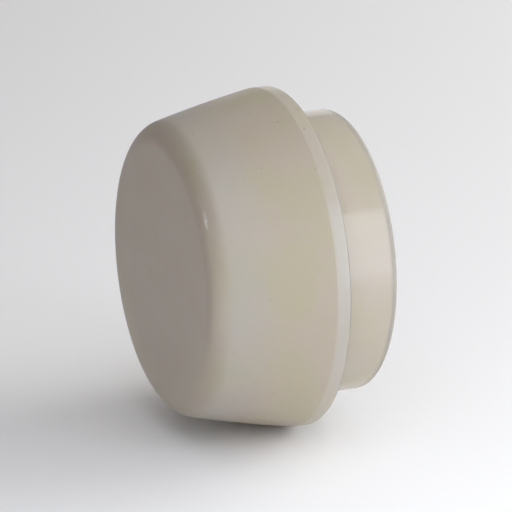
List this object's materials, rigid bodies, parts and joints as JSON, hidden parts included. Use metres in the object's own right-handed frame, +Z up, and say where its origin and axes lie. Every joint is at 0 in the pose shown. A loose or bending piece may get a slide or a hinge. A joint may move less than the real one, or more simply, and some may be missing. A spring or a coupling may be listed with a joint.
{
  "type": "pipe cap",
  "caption": "Push-in pipe cap with a tapered off-white nylon head, closed in front, a plain spigot for the pipe's bore and a captive rubber ring at the shoulder.",
  "frame": {"origin": "centre of the shoulder plane, where the pipe's cut end lands, on the cap's axis", "axes": "+X along the axis from the head towards the spigot and the pipe, +Z up, +Y completes a right-handed frame; the closed front face looks along -X"},
  "size_m": [0.0242, 0.0422, 0.0422],
  "materials": {
    "nylon_head": "natural off-white nylon, satin",
    "nylon_spigot": "natural off-white nylon, semi-gloss",
    "seal_rubber": "black rubber, matte"
  },
  "bodies": {
    "root": {"cap_head": "nylon_head", "spigot": "nylon_spigot", "shoulder_seal": "seal_rubber"}
  },
  "joints": []
}
